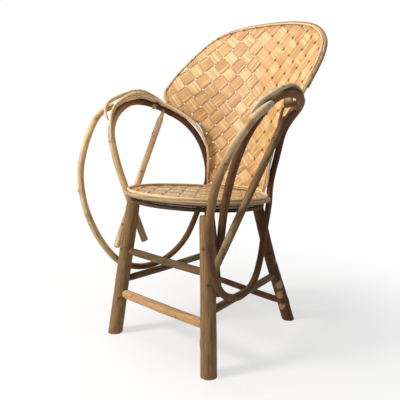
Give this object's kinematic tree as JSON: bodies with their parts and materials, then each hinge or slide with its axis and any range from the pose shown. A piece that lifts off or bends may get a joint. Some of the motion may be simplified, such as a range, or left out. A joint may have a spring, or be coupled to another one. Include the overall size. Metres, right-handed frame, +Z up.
{
  "type": "twig armchair",
  "caption": "Rustic armchair of bent coppice poles with looping arms, a round woven splint seat and a balloon-shaped woven splint back.",
  "frame": {"origin": "middle of the bounding box's underside, on the floor under the seat", "axes": "+Z up, the sitter faces -Y, +X is the sitter's left hand"},
  "size_m": [0.605, 0.5572, 0.928],
  "materials": {
    "weathered_pole": "matt grey-brown bark",
    "dark_pole": "matt dark red-brown bark",
    "grey_pole": "matt grey-brown bark",
    "tan_pole": "matt reddish tan bark",
    "bent_pole": "matt tan to grey bark on a bent rod",
    "peeled_strip": "split and peeled pale wood, satin",
    "splint": "split chestnut splints, satin grain",
    "hoop_pole": "dark bark",
    "rim_pole": "brown bark",
    "nail_steel": "dull wire nail"
  },
  "bodies": {
    "root": {"front_leg_left": "weathered_pole", "side_stretcher_left": "weathered_pole", "arm_strut_left": "grey_pole", "rear_leg_left": "dark_pole", "arm_loop_left": "bent_pole", "arm_inner_strip_left": "peeled_strip", "arm_outer_strip_left": "peeled_strip", "arm_cleat_left": "peeled_strip", "arm_nails_left": "nail_steel", "front_leg_right": "weathered_pole", "side_stretcher_right": "weathered_pole", "arm_strut_right": "grey_pole", "rear_leg_right": "dark_pole", "arm_loop_right": "bent_pole", "arm_inner_strip_right": "peeled_strip", "arm_outer_strip_right": "peeled_strip", "arm_cleat_right": "peeled_strip", "arm_nails_right": "nail_steel", "front_stretcher_upper": "weathered_pole", "front_stretcher_lower": "tan_pole", "rear_stretcher": "dark_pole", "seat_rim": "peeled_strip", "seat_weave": "splint", "back_weave": "splint", "seat_ring": "hoop_pole", "seat_lower_ring": "hoop_pole", "seat_rail_front": "hoop_pole", "seat_rail_rear": "hoop_pole", "back_front_strip": "peeled_strip", "back_bottom_strip": "peeled_strip", "back_rear_rim": "rim_pole", "seat_rim_nails": "nail_steel", "leg_pins": "nail_steel", "back_nails": "nail_steel"}
  },
  "joints": []
}
